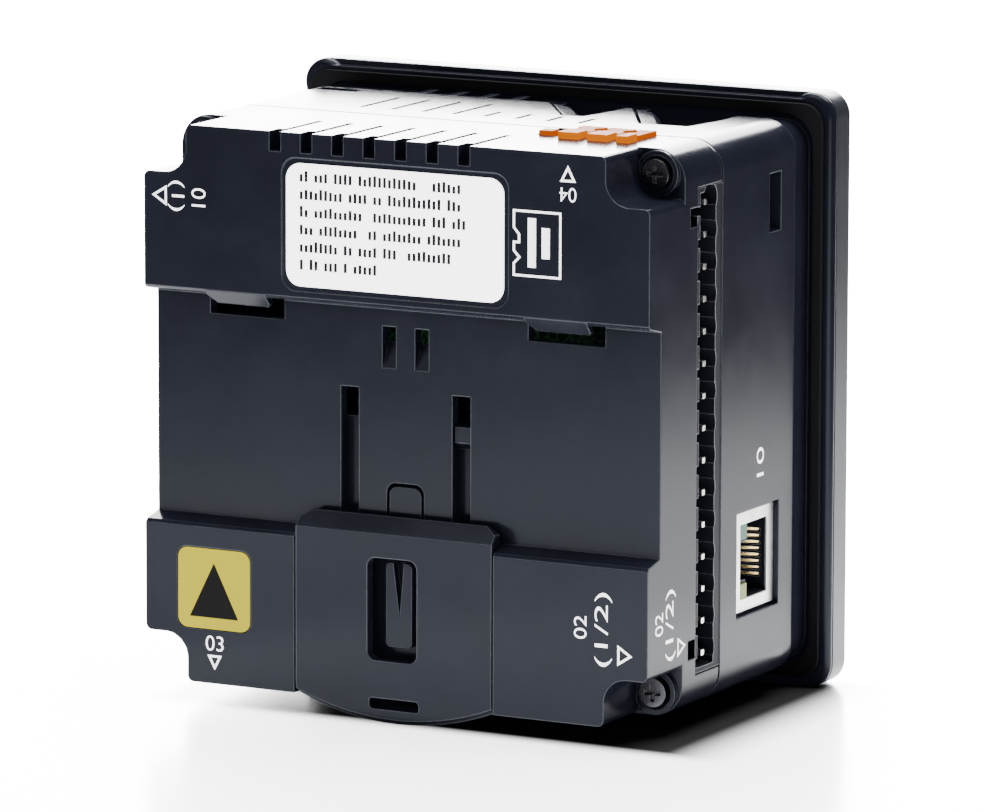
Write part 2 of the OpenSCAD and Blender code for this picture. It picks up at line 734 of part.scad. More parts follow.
module board_spacers() color("#c8b16a") seat() at_posts() difference() {
    union() {
        y0 = io_y + board_t;
        translate([0, main_y, 0]) rotate([90, 0, 0])
            cylinder(h = main_y - y0, r = spacer_d / sqrt(3), $fn = 6);
        rod(rear_d - 6, 6 + board_t + eps, screw_d / 2);
    }
    rod(main_y - 6, 7, screw_d / 2 + screw_fit);
}

module board_screws() color("#b9bcc2") seat() at_posts()
    translate([0, main_y + board_t, 0]) rotate([0, 0, 180]) pan_screw(0, board_t + 5, 0.6);

// Board-to-board connector, in two halves
module link_header() color("#1b1b1d") seat() {
    block(-22, io_y + board_t, 12, -2, link_split, 17);
    for (i = [0:7], j = [0, 1]) block(
        -20.1 + i * 2.54, link_split - 0.5, 13 + j * 2.54,
        -19.5 + i * 2.54, link_split + 4, 13.6 + j * 2.54
    );
}

module link_socket() color("#1b1b1d") seat() difference() {
    block(-22, link_split, 12, -2, main_y, 17);
    for (i = [0:7], j = [0, 1]) block(
        -20.25 + i * 2.54, link_split - 1, 12.85 + j * 2.54,
        -19.35 + i * 2.54, link_split + 5, 13.75 + j * 2.54
    );
}

// Header in its own frame: open towards +x, pins in a row along z from z = 0
module header_shell(count, len, d) {
    cell = (header_h - 2 * header_wall) / 2;
    difference() {
        block(-d, 0, -len / 2, 0, header_h, len / 2);
        block(
            -d + 1.6, header_wall, header_wall - len / 2,
            1, header_h - header_wall - 1.4, len / 2 - header_wall
        );
        for (i = [0:count - 1])
            translate([0, header_h - header_wall - cell, (i - (count - 1) / 2) * pitch + 0.6])
                rotate([0, 90, 0]) translate([0, 0, -d + 1.6]) cylinder(h = d + 1, r = pitch / 2 - 0.1);
        for (i = [0:count - 1]) block(
            -2.2, -1, (i - (count - 1) / 2) * pitch - 1.7,
            1, header_wall + 1, (i - (count - 1) / 2) * pitch - 0.3
        );
        for (i = [0:count - 1]) translate([0, 0, (i - (count - 1) / 2) * pitch])
            block(-d - 1, header_h / 2 - pin_w / 2, -pin_w / 2, -d + 2, header_h / 2 + pin_w / 2, pin_w / 2);
    }
}

module header_pins(count, d) {
    for (i = [0:count - 1]) translate([0, 0, (i - (count - 1) / 2) * pitch]) {
        block(
            -d - pin_tail, header_h / 2 - pin_w / 2, -pin_w / 2,
            -pin_in, header_h / 2 + pin_w / 2, pin_w / 2
        );
        block(
            -d - pin_tail, header_h / 2 - pin_w / 2, -pin_w / 2,
            -d - pin_tail + pin_w, header_h, pin_w / 2
        );
    }
}

module at_right() translate([side_x - side_header_in, header_y, side_lo + side_len / 2]) children();

module right_header() color("#202024") seat() at_right() header_shell(side_pins, side_len, side_header_d);

module right_pins() color("#d8d8d2") seat() at_right() header_pins(side_pins, side_header_d);

module left_header() color("#202024") seat() mirror([1, 0, 0]) at_right()
    header_shell(side_pins, side_len, side_header_d);

module left_pins() color("#d8d8d2") seat() mirror([1, 0, 0]) at_right()
    header_pins(side_pins, side_header_d);

// Places a header on end, open upwards, in the top of the rear cover
module at_top() translate([end_header_x, header_y, plug_split - slot_gap]) rotate([0, -90, 0]) children();

module end_shell() header_shell_plain(end_pins, end_len, plug_split - slot_gap - end_header_lo);

// Header with a plain cavity, as its plug fills it
module header_shell_plain(count, len, d) {
    difference() {
        block(-d, 0, -len / 2, 0, header_h, len / 2);
        block(-d + 1.6, header_wall, header_wall - len / 2, 1, header_h - header_wall, len / 2 - header_wall);
        for (i = [0:count - 1]) translate([0, 0, (i - (count - 1) / 2) * pitch])
            block(-d - 1, header_h / 2 - pin_w / 2, -pin_w / 2, -d + 2, header_h / 2 + pin_w / 2, pin_w / 2);
    }
}

module top_header() color("#202024") seat() at_top() end_shell();

module top_pins() color("#d8d8d2") seat() at_top()
    header_pins(end_pins, plug_split - slot_gap - end_header_lo);

module bottom_header() color("#202024") seat() rotate_half() at_top() end_shell();

module bottom_pins() color("#d8d8d2") seat() rotate_half() at_top()
    header_pins(end_pins, plug_split - slot_gap - end_header_lo);

module at_poles()
    for (i = [0:end_pins - 1]) translate([end_header_x + (i - (end_pins - 1) / 2) * pitch, 0, 0]) children();

// Left edge of a release button, counted from the left
function button_left(i) = end_header_x + (i - 1 - (end_pins - 1) / 2) * pitch + button_x;

// Width of a release button; the last one ends with the plug
function button_width(i) = min(button_w, plug_x1 - button_left(i));

// Spring-clamp plug: a tab and a head over the header, and a block that enters it
module top_plug() color("#f07a14") seat() difference() {
    union() {
        block(
            plug_x0 + slot_gap, header_y + slot_gap, plug_split,
            plug_x1 - slot_gap, rear_d - slot_gap, body_h - wall
        );
        block(
            plug_x0 + tab_w + tab_gap, header_y + slot_gap, plug_split + 1,
            plug_x1 - slot_gap, rear_d - slot_gap, plug_hi
        );
        block(
            plug_x0 + slot_gap, header_y + slot_gap, plug_split + 1,
            plug_x0 + tab_w, header_y + 2.6, plug_hi
        );
        block(
            plug_x0 + header_wall + slot_gap, header_y + header_wall + slot_gap, end_header_lo + 2,
            plug_x1 - header_wall - slot_gap, rear_d - header_wall - slot_gap, plug_split + 1
        );
    }
    for (i = [1:end_pins]) block(
        button_left(i) - button_gap, header_y - 1, plug_hi + button_rise - button_h - button_travel - 0.1,
        button_left(i) + button_width(i) + button_gap, button_y + button_l + button_gap, plug_hi + 1
    );
    at_poles() {
        translate([0, rear_d - 3, plug_split - 1]) cylinder(h = 12, r = 1.2);
        block(-0.3, header_y - 1, plug_hi - 0.5, 0.3, rear_d + 1, plug_hi + 1);
        block(
            -pin_w / 2 - 0.2, header_y + header_h / 2 - pin_w / 2 - 0.2, end_header_lo,
            pin_w / 2 + 0.2, header_y + header_h / 2 + pin_w / 2 + 0.2, plug_split - 0.2
        );
    }
}

// Release button beside one pole, counted from the left
module release_button(i) color("#f7963a") seat() block(
    button_left(i), button_y, plug_hi + button_rise - button_h,
    button_left(i) + button_width(i) - (i == end_pins ? slot_gap : 0), button_y + button_l,
    plug_hi + button_rise
);

module release_button_1() release_button(1);
module release_button_2() release_button(2);
module release_button_3() release_button(3);

module at_power() translate([power_x, main_y - header_h, 0.4]) rotate([0, 90, 0]) children();

module power_header() color("#202024") seat() at_power() header_shell_plain(3, power_len, 8.5);

module power_pins() color("#d8d8d2") seat() at_power() header_pins(3, 8.5);

module at_jack() translate([jack_face, jack_y, jack_z]) children();

// Metal shell of the network jack, folded round a moulded socket
module lan_shield() color("#c9ccd0") seat() at_jack() difference() {
    block(-jack_d, -jack_h / 2, -jack_w / 2, 0, jack_h / 2, jack_w / 2);
    block(
        -jack_d - 1, -jack_h / 2 + shield_t, -jack_w / 2 + shield_t,
        -shield_t, jack_h / 2 + 1, jack_w / 2 - shield_t
    );
    block(-1, led_y - 1.2, -6, 1, 4.5, 6);
}

module lan_cavity() {
    block(-13, -2.6, -6, 1, 4.5, 6);
    block(-9, led_y - 1.2, -3.1, 1, -2.5, 3.1);
}

module lan_insert() color("#1a1a1c") seat() at_jack() difference() {
    block(
        -jack_d, -jack_h / 2 + shield_t, -jack_w / 2 + shield_t,
        -shield_t, jack_h / 2, jack_w / 2 - shield_t
    );
    lan_cavity();
    for (i = [0:7]) block(-14, 4, (i - 3.5) * 1.02 - 0.3, -1.2, 6, (i - 3.5) * 1.02 + 0.3);
    for (sz = [-1, 1]) translate([0, led_y, sz * led_z]) block(-5, -1.2, -1.25, 1, 1.2, 1.25);
}

module lan_contacts() color("#e0b64c") seat() at_jack() for (i = [0:7])
    translate([0, 0, (i - 3.5) * 1.02]) side_contact();

// One contact wire: along the floor of its groove, then back into the opening
module side_contact() translate([0, 0, -0.22]) linear_extrude(0.44) polygon([
    [-14, 5.9], [-2, 5.9], [-1.9, 5.4], [-9, 2.6], [-9.2, 3], [-3.4, 5.4], [-14, 5.4]
]);

module lan_led(sz) seat() at_jack() translate([0, led_y, sz * led_z]) block(-5, -1.15, -1.2, 0, 1.15, 1.2);

module lan_led_green() color("#1f9d52") lan_led(1);

module lan_led_amber() color("#b9c23a") lan_led(-1);

module card_socket() color("#b9bcc2") seat() difference() {
    block(card_x - card_w / 2, main_y - 2.4, 63, card_x + card_w / 2, main_y, body_h - tray_d - 2.2);
    block(card_x - 5.7, main_y - 1.9, 65, card_x + 5.7, main_y - 0.7, body_h);
}

module processor() color("#1c1c20") seat()
    block(cell_x + 13, main_y - 1.4, chip_z - 9, cell_x + 31, main_y, chip_z + 9);

module cell_holder() color("#2a2a2c") seat() difference() {
    block(cell_x - 11, main_y - 4.4, cell_z - 11, cell_x + 11, main_y, cell_z + 11);
    translate([cell_x, 0, cell_z]) rod(main_y - 5, 4, 10.2);
}

module coin_cell() color("#c4c7cb") seat() translate([cell_x, 0, cell_z]) rod(main_y - 4.2, 3.2, 10);

module capacitor(x) seat() translate([x, 0, capacitor_z]) {
    rod(io_y + board_t, capacitor_h, capacitor_r);
    rod(io_y + board_t, capacitor_h + 0.2, capacitor_r - 0.8);
}

module capacitor_1() color("#3a3f6a") capacitor(side_x - 36.6);

module capacitor_2() color("#3a3f6a") capacitor(side_x - 26.6);

rear_cover();
front_housing();
front_bezel();
panel_gasket();
key_overlay();
touch_panel();
lcd_module();
display_carrier();
din_clip();
housing_screws();
io_board();
main_board();
board_spacers();
board_screws();
link_header();
link_socket();
left_header();
left_pins();
right_header();
right_pins();
top_header();
top_pins();
top_plug();
release_button_1();
release_button_2();
release_button_3();
bottom_header();
bottom_pins();
power_header();
power_pins();
lan_shield();
lan_insert();
lan_contacts();
lan_led_green();
lan_led_amber();
card_socket();
processor();
cell_holder();
coin_cell();
capacitor_1();
capacitor_2();
white_label();
yellow_label();
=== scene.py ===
# Studio view of a panel-mounted controller, seen from its wiring side.
import json
import math

import bpy
from mathutils import Matrix, Vector


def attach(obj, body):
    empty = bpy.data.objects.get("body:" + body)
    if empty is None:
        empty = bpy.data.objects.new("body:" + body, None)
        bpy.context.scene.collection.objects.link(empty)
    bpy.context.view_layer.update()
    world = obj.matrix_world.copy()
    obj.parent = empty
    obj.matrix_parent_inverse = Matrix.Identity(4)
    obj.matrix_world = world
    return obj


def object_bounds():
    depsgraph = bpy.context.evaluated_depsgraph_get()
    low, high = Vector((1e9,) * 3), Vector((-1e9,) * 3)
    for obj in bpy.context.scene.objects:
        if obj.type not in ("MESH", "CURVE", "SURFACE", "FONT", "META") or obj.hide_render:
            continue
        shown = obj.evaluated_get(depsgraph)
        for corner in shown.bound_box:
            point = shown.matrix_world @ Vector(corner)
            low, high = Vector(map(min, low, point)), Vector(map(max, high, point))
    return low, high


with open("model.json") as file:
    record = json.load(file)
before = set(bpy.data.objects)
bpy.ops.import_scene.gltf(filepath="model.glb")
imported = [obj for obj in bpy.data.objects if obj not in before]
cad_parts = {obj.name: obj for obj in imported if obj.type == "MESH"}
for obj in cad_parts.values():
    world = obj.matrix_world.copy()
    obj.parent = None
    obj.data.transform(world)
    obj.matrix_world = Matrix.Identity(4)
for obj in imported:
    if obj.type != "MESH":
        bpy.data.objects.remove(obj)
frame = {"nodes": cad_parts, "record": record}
cadLow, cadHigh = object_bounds()
nodes = frame["nodes"]
print("frame loaded:", len(nodes), "nodes")

mm = 0.001
rearY = cadLow.y             # the drawing's y = 0, on the rear face
footZ = cadLow.z + 3.5 * mm  # the drawing's z = 0, under the housing
wallX = 44.6 * mm            # the right-hand wall
inkThick = 0.016             # in millimetres, of all that is printed but the rings on the keys


def placed(name, data):  # a new object in the scene
    obj = bpy.data.objects.new(name, data)
    bpy.context.scene.collection.objects.link(obj)
    return obj


# in millimetres and degrees, but clip, the nearest and farthest that shows, in metres
view = {"focal": 297.71, "sensor": 36.0, "azimuth": 27.848, "elevation": 9.807, "roll": 0.1516,
        "target": (4.046, -3.75, 46.896), "distance": 1309.75, "clip": (0.05, 20)}


def makeCamera():
    az, el, roll = (math.radians(view[k]) for k in ("azimuth", "elevation", "roll"))
    back = Vector((math.sin(az) * math.cos(el), -math.cos(az) * math.cos(el), math.sin(el)))
    right = Vector((math.cos(az), math.sin(az), 0))
    up = right.cross(-back)
    right, up = (math.cos(roll) * right + math.sin(roll) * up, math.cos(roll) * up - math.sin(roll) * right)
    turned = Matrix((right, up, back)).transposed().to_4x4()
    turned.translation = Vector(view["target"]) * mm + back * view["distance"] * mm
    data = bpy.data.cameras.new("camera")
    data.lens, data.sensor_width = view["focal"], view["sensor"]
    data.clip_start, data.clip_end = view["clip"]
    camera = placed("camera", data)
    camera.matrix_world = turned
    bpy.context.scene.camera = camera


makeCamera()


class Wire:  # one output of a node, with its sums written as Python sums
    def __init__(self, graph, socket):
        self.graph, self.socket = graph, socket

    def __add__(self, other):
        return self.graph.maths("ADD", self, other)

    __radd__ = __add__

    def __mul__(self, other):
        return self.graph.maths("MULTIPLY", self, other)

    __rmul__ = __mul__

    def __sub__(self, other):
        return self.graph.maths("SUBTRACT", self, other)

    def __rsub__(self, other):
        return self.graph.maths("SUBTRACT", other, self)

    def __gt__(self, other):
        return self.graph.maths("GREATER_THAN", self, other)

    def __lt__(self, other):
        return self.graph.maths("LESS_THAN", self, other)


class Graph:  # a node tree, one node for each call of add
    def __init__(self, tree):
        self.tree = tree

    def add(self, kind, settings, inputs, take=0):  # gives the output of that number
        node = self.tree.nodes.new(kind)
        for key, value in settings.items():
            if key == "stops":
                ramp = node.color_ramp
                while len(ramp.elements) < len(value):
                    ramp.elements.new(0.5)
                for element, (place, colour) in zip(ramp.elements, value):
                    element.position, element.color = place, colour
            else:
                setattr(node, key, value)
        for key, value in inputs.items():
            self.put(node.inputs[key], value)
        return Wire(self, node.outputs[take])

    def put(self, socket, value):
        if isinstance(value, Wire):
            self.tree.links.new(value.socket, socket)
        else:
            socket.default_value = value

    def maths(self, operation, first, second=0.0):
        return self.add("ShaderNodeMath", {"operation": operation}, {0: first, 1: second})


allNoise, midNoise = (0.3, 0.7), (0.35, 0.65)  # between these lies nearly all of a noise, and most of it
black = (0.0, 0.0, 0.0)


def shade(colour, strength=1.0):
    return (*(strength * c for c in colour), 1)


class Finish(Graph):  # a material
    def __init__(self, name):
        self.material = bpy.data.materials.new(name)
        self.material.use_nodes = True
        super().__init__(self.material.node_tree)
        self.shader = self.tree.nodes["Principled BSDF"]
        self.place = self.add("ShaderNodeTexCoord", {}, {}, 3)

    def set(self, **values):
        for key, value in values.items():
            self.put(self.shader.inputs[key.replace("_", " ")], value)

    def noise(self, size, detail=3.0):  # in spots of that size in metres
        return self.add("ShaderNodeTexNoise", {},
                        {"Vector": self.place, "Scale": 1 / size, "Detail": detail, "Roughness": 0.6})

    def spread(self, value, span, out=(0.0, 1.0), kind="LINEAR"):  # the span of the value laid on out
        return self.add("ShaderNodeMapRange", {"interpolation_type": kind},
                        {0: value, 1: span[0], 2: span[1], 3: out[0], 4: out[1]})

    def rise(self, value, low, high):
        return self.spread(value, (low, high), kind="SMOOTHSTEP")

    def fall(self, value, low, high):
        return self.spread(value, (low, high), (1.0, 0.0), "SMOOTHSTEP")

    def blend(self, factor, first, second):
        return self.add("ShaderNodeMix", {"data_type": "RGBA"}, {0: factor, 6: first, 7: second}, 2)

    def along(self, axis):
        return self.add("ShaderNodeSeparateXYZ", {}, {0: self.place}, axis)

    def softEdge(self, radius):  # in millimetres
        return self.add("ShaderNodeBevel", {"samples": 6}, {"Radius": radius * mm})

    def dents(self, height, distance, strength=1.0, edge=None):
        inputs = {"Height": height, "Distance": distance, "Strength": strength}
        if edge:
            inputs["Normal"] = edge
        return self.add("ShaderNodeBump", {}, inputs, 0)


# of all mouldings: patches of darker and lighter colour, the bend at which an edge gets its wear and painted
# highlight, how far round a spot its surroundings count, how open it must be to lose the painted shade of
# closed-in spots, and a bluish shine; lengths in millimetres
moulding = {"patches": 14.0, "shades": (0.86, 1.14), "stray": 0.03, "flatToBent": (0.995, 0.86),
            "wearAndHighlightGrain": (0.3, 0.6), "reach": 4.0, "closedToOpen": (0.42, 0.6), "bump": 0.6,
            "shine": (0.86, 0.92, 1)}


def moulded(name, colour, worn, rough, edge=0.3, grain=0.35, depth=0.002, level=0.5, glow=0.0):
    f = Finish(name)
    soft = f.softEdge(edge)
    straight = f.add("ShaderNodeNewGeometry", {}, {}, 3)
    turn = f.add("ShaderNodeVectorMath", {"operation": "DOT_PRODUCT"}, {0: soft, 1: straight}, 1)
    fine, wide = f.noise(grain * mm), f.noise(moulding["patches"] * mm, 4.0)
    around = f.add("ShaderNodeAmbientOcclusion", {"samples": 6}, {"Distance": moulding["reach"] * mm}, 1)
    openness = f.spread(around, moulding["closedToOpen"])
    rounded = f.add("ShaderNodeMix", {"data_type": "VECTOR"}, {0: openness, 4: straight, 5: soft}, 1)
    # bent edges take a lighter colour: partly wear, partly a painted highlight along the rounded edges
    wearAndHighlightEdges = f.spread(turn, moulding["flatToBent"]) * f.spread(fine, moulding["wearAndHighlightGrain"], (0.5, 1.0))
    wearAndHighlightEdges = wearAndHighlightEdges * openness
    darker, lighter = (shade(colour, strength) for strength in moulding["shades"])
    tone = f.blend(f.spread(wide, midNoise), darker, lighter)
    # glow paints light into a moulding: it shines from within though it is no lamp
    if glow:
        f.set(Emission_Color=tone, Emission_Strength=glow)
    # painted shade: closed-in spots get a black base colour, and below they turn to a colourless metal that
    # shines nowhere
    paintedShadeTone = f.blend(openness, shade(black), tone)
    stray = moulding["stray"]
    f.set(Base_Color=f.blend(wearAndHighlightEdges, paintedShadeTone, shade(worn)), Specular_IOR_Level=level,
          Specular_Tint=shade(moulding["shine"]),
          Roughness=f.spread(wide, midNoise, (rough - stray, rough + stray)),
          Metallic=1 - openness,  # a metal without colour shines nowhere, so closed-in spots stay dark
          Normal=f.dents(fine, depth * mm, moulding["bump"], rounded))
    return f.material


metalwork = {"patches": 4.0, "darker": 0.82, "stray": (-0.05, 0.08), "depth": 0.004, "bump": 0.5}


def metal(name, colour, rough, grain=0.15, edge=0.12):
    f = Finish(name)
    soft = f.softEdge(edge)
    fine, wide = f.noise(grain * mm), f.noise(metalwork["patches"] * mm)
    f.set(Base_Color=f.blend(f.spread(wide, midNoise), shade(colour, metalwork["darker"]), shade(colour)),
          Metallic=1.0, Roughness=f.spread(fine, allNoise, tuple(rough + s for s in metalwork["stray"])),
          Normal=f.dents(fine, metalwork["depth"] * mm, metalwork["bump"], soft))
    return f.material


inkwork = {"grain": 0.12, "darker": 0.93, "stray": 0.05, "depth": 0.002}


def printed(name, colour, rough, glow=0.0, level=0.15):
    f = Finish(name)
    fine = f.noise(inkwork["grain"] * mm)
    tone = f.blend(f.spread(fine, midNoise), shade(colour, inkwork["darker"]), shade(colour))
    stray = inkwork["stray"]
    # glow paints light into the print: it shines from within though it is no lamp
    f.set(Base_Color=tone, Emission_Color=tone, Emission_Strength=glow, Specular_IOR_Level=level,
          Roughness=f.spread(fine, allNoise, (rough - stray, rough + stray)),
          Normal=f.dents(fine, inkwork["depth"] * mm))
    return f.material


def lens(name, colour, glow, grain=0.7, darker=0.6, depth=0.03):
    f = Finish(name)
    clouds = f.noise(grain * mm)
    f.set(Base_Color=f.blend(clouds, shade(colour, darker), shade(colour)), Roughness=0.3,
          Coat_Weight=0.1, Specular_IOR_Level=0.2, Emission_Color=shade(colour), Emission_Strength=glow,
          Normal=f.dents(clouds, depth * mm))
    return f.material


def circuitBoard(name, lacquer, copper, pitch, width, depth):
    f = Finish(name)
    tracks = f.add("ShaderNodeTexVoronoi", {"feature": "DISTANCE_TO_EDGE", "distance": "CHEBYCHEV"},
                   {"Vector": f.place, "Scale": 1 / (pitch * mm), "Randomness": 0.85})
    onTrack = f.spread(tracks, width, (1.0, 0.0))
    f.set(Base_Color=f.blend(onTrack, shade(lacquer), shade(copper)), Roughness=0.35,
          Coat_Weight=0.4, Normal=f.dents(onTrack, depth * mm))
    return f.material


def overlayFilm(name, colour, paler, speckle, keys, grain, depth):  # paler between the heights of its keys
    f = Finish(name)
    fine = f.noise(grain * mm)
    height = f.along(2)
    besideKeys = (height > keys[0] * mm) * (height < keys[1] * mm)
    tone = f.blend(besideKeys, shade(colour), shade(paler))
    dots = f.spread(fine, midNoise, (0.0, 0.12))
    f.set(Base_Color=f.blend(dots, tone, shade(speckle)), Specular_IOR_Level=0.12,
          Roughness=f.spread(fine, allNoise, (0.36, 0.46)), Normal=f.dents(fine, depth * mm))
    return f.material


def screenGlass(name, border, colour, half, heights):  # with a black printed border behind the glass
    f = Finish(name)
    across, height = f.along(0), f.along(2)
    low, high = heights
    inside = (across > -half * mm) * (across < half * mm) * (height > low * mm) * (height < high * mm)
    haze = f.noise(22 * mm, 2.0)
    f.set(Base_Color=f.blend(inside * f.spread(haze, allNoise, (0.8, 1.0)), shade(border), shade(colour)),
          Roughness=f.spread(f.noise(6 * mm), allNoise, (0.05, 0.09)),
          Specular_IOR_Level=0.25, Coat_Weight=0.05)
    return f.material


# the finish of each of the record's material slots; lengths in millimetres, heights above the floor
finishes = {
    # the black mouldings' glow is painted light that lifts their darks
    "black_moulding": (moulded, dict(colour=(0.0045, 0.005, 0.0085), worn=(0.07, 0.075, 0.088), rough=0.18,
                                     level=0.115, glow=0.5)),
    "bezel_grey": (moulded, dict(colour=(0.012, 0.013, 0.016), worn=(0.1, 0.1, 0.11), rough=0.3,
                                 edge=0.25, depth=0.02, level=0.35)),
    "clip_black": (moulded, dict(colour=(0.005, 0.0055, 0.009), worn=(0.07, 0.075, 0.088), rough=0.18,
                                 edge=0.35, level=0.11, glow=0.4)),
    "gasket_rubber": (moulded, dict(colour=(0.003, 0.003, 0.0035), worn=(0.01, 0.01, 0.01), rough=0.7,
                                    edge=0.2, grain=0.4, depth=0.03, level=0.1)),
    "overlay_film": (overlayFilm, dict(colour=(0.006, 0.007, 0.009), paler=(0.022, 0.024, 0.029),
                                       speckle=(0.04, 0.04, 0.045), keys=(6.8, 23.0), grain=0.2, depth=0.006)),
    "screen_glass": (screenGlass, dict(border=(0.004, 0.004, 0.005), colour=(0.018, 0.024, 0.036), half=33.5,
                                       heights=(30.5, 80.5))),
    "display_metal": (metal, dict(colour=(0.6, 0.6, 0.62), rough=0.3)),
    "carrier_plastic": (moulded, dict(colour=(0.6, 0.6, 0.56), worn=(0.75, 0.75, 0.7), rough=0.45)),
    "screw_black": (metal, dict(colour=(0.08, 0.08, 0.09), rough=0.25)),
    "screw_steel": (metal, dict(colour=(0.55, 0.56, 0.58), rough=0.28)),
    "board_green": (circuitBoard, dict(lacquer=(0.008, 0.07, 0.025), copper=(0.03, 0.2, 0.06), pitch=1.6,
                                       width=(0.06, 0.09), depth=0.03)),
    "spacer_brass": (metal, dict(colour=(0.72, 0.5, 0.2), rough=0.25)),
    # the light colour on the header's edges is mostly a painted highlight on its rim
    "header_black": (moulded, dict(colour=(0.004, 0.0045, 0.007), worn=(0.4, 0.41, 0.43), rough=0.5,
                                   edge=0.16, grain=0.3, level=0.08)),
    "pin_tin": (metal, dict(colour=(0.85, 0.84, 0.82), rough=0.22)),
    # the orange plug and its keys glow with painted light so they look brighter
    "plug_orange": (moulded, dict(colour=(0.1, 0.016, 0.0), worn=(0.2, 0.04, 0.0), rough=0.6,
                                  edge=0.2, grain=0.5, level=0.05, glow=5.5)),
    "button_orange": (moulded, dict(colour=(0.12, 0.028, 0.0), worn=(0.24, 0.06, 0.0), rough=0.55,
                                    edge=0.2, grain=0.5, level=0.05, glow=6.0)),
    "jack_metal": (metal, dict(colour=(0.92, 0.92, 0.9), rough=0.42)),
    "contact_gold": (metal, dict(colour=(0.95, 0.7, 0.28), rough=0.2, grain=0.1, edge=0.05)),
    "led_green": (lens, dict(colour=(0.0, 0.07, 0.035), glow=0.55)),
    "led_amber": (lens, dict(colour=(0.11, 0.13, 0.0), glow=0.5)),
    "chip_black": (moulded, dict(colour=(0.012, 0.012, 0.012), worn=(0.04, 0.04, 0.04), rough=0.5, edge=0.1)),
    "cell_steel": (metal, dict(colour=(0.7, 0.7, 0.72), rough=0.2)),
    "capacitor_blue": (moulded, dict(colour=(0.03, 0.04, 0.14), worn=(0.1, 0.1, 0.2), rough=0.25)),
    # the labels' glow is painted light that makes them look whiter and brighter
    "label_white": (printed, dict(colour=(0.88, 0.88, 0.9), rough=0.45, glow=3.2)),
    "label_yellow": (printed, dict(colour=(0.3, 0.25, 0.0), rough=0.45, glow=0.2)),
}
inks = {
    # the white print's glow is painted light
    "whitePrint": dict(colour=(0.85, 0.85, 0.88), rough=0.5, glow=1.6),
    "darkPrint": dict(colour=(0.01, 0.01, 0.012), rough=0.5, level=0.05),
    "signPrint": dict(colour=(0.005, 0.005, 0.005), rough=0.4, level=0.03),
}


def camelName(slot):
    first, *rest = slot.split("_")
    return first + "".join(word.capitalize() for word in rest)


made = {slot: maker(camelName(slot), **settings) for slot, (maker, settings) in finishes.items()}
slotOf = {part["node"]: part["material_slot"] for part in frame["record"]["subparts"]}
for name, node in nodes.items():
    node.data.materials.clear()
    node.data.materials.append(made[slotOf[name]])
ink = {name: printed(name, **settings) for name, settings in inks.items()}
print("finishes ready:", len(made) + len(ink))


# where a drawing lies: on the rear face (x, z) or the right-hand wall (y, z), lifted off it by the gap, or
# as far behind the foremost face of the front (x, z from outside); the gap is to the middle of the ink
def faceMatrix(face, gap=inkThick / 2):
    axes, origin = {
        "rear": (((1, 0, 0), (0, 0, 1), (0, -1, 0)), (0, rearY - gap * mm, footZ)),
        "right": (((0, 1, 0), (0, 0, 1), (1, 0, 0)), (wallX + gap * mm, rearY, footZ)),
        "front": (((-1, 0, 0), (0, 0, 1), (0, 1, 0)), (0, cadHigh.y - gap * mm, footZ)),
    }[face]
    turned = Matrix(axes).transposed().to_4x4()
    turned.translation = Vector(origin)
    return turned


def keep(name, mesh, material, body="housing"):
    mesh.materials.clear()
    mesh.materials.append(material)
    piece = placed(name, mesh)
    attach(piece, body)


def asMesh(obj):  # a plain mesh of what the object shows, and the object itself gone
    graph = bpy.context.evaluated_depsgraph_get()
    mesh = bpy.data.meshes.new_from_object(obj.evaluated_get(graph), depsgraph=graph)
    bpy.data.objects.remove(obj)
    return mesh


def joined(meshes, name):
    verts, faces = [], []
    for mesh in meshes:
        first = len(verts)
        verts += [v.co.copy() for v in mesh.vertices]
        faces += [[first + i for i in p.vertices] for p in mesh.polygons]
        bpy.data.meshes.remove(mesh)
    out = bpy.data.meshes.new(name)
    out.from_pydata(verts, [], faces)
    out.update()
    return out


def outlineInset(points, width):  # the polygon moved inwards by that width, drawn anticlockwise
    count, out = len(points), []
    for i in range(count):
        a, b, c = (Vector(points[(i + k) % count]) for k in (-1, 0, 1))
        d1, d2 = (b - a).normalized(), (c - b).normalized()
        n1, n2 = Vector((-d1.y, d1.x)), Vector((-d2.y, d2.x))
        out.append(b + (n1 + n2) * width / (1 + n1.dot(n2)))
    return out


def flatShape(loops):  # closed loops in millimetres; a loop inside another is a hole
    curve = bpy.data.curves.new("loops", "CURVE")
    curve.dimensions, curve.fill_mode, curve.extrude = "2D", "BOTH", inkThick * mm / 2
    for loop in loops:
        line = curve.splines.new("POLY")
        line.points.add(len(loop) - 1)
        for point, (x, y) in zip(line.points, loop):
            point.co = (x * mm, y * mm, 0, 1)
        line.use_cyclic_u = True
    return asMesh(placed("loops", curve))


lettering = {"extrude": 0.01, "thinner": 0.006}  # as shares of the letter size, before it is fitted


def figures(word, size):  # a word of figures, fitted to a length and a height in millimetres
    text = bpy.data.curves.new("figures", "FONT")
    text.body, text.extrude, text.offset = word, lettering["extrude"], -lettering["thinner"]
    mesh = asMesh(placed("figures", text))
    xs, ys = [v.co.x for v in mesh.vertices], [v.co.y for v in mesh.vertices]
    low = Vector((min(xs), min(ys), 0))
    span = Vector((max(xs) - min(xs), max(ys) - min(ys), 2 * lettering["extrude"]))
    for v in mesh.vertices:
        v.co = Vector(((v.co.x - low.x) / span.x - 0.5, (v.co.y - low.y) / span.y - 0.5, v.co.z / span.z))
        v.co = Vector((v.co.x * size[0], v.co.y * size[1], v.co.z * inkThick)) * mm
    return mesh


def triangle(low, high, way):  # in a box, pointing up, down, left or right
    (x0, y0), (x1, y1) = low, high
    middle = ((x0 + x1) / 2, (y0 + y1) / 2)
    return {
        "up": [(x0, y0), (x1, y0), (middle[0], y1)], "down": [(x0, y1), (middle[0], y0), (x1, y1)],
        "right": [(x0, y0), (x1, middle[1]), (x0, y1)], "left": [(x1, y0), (x1, y1), (x0, middle[1])],
    }[way]


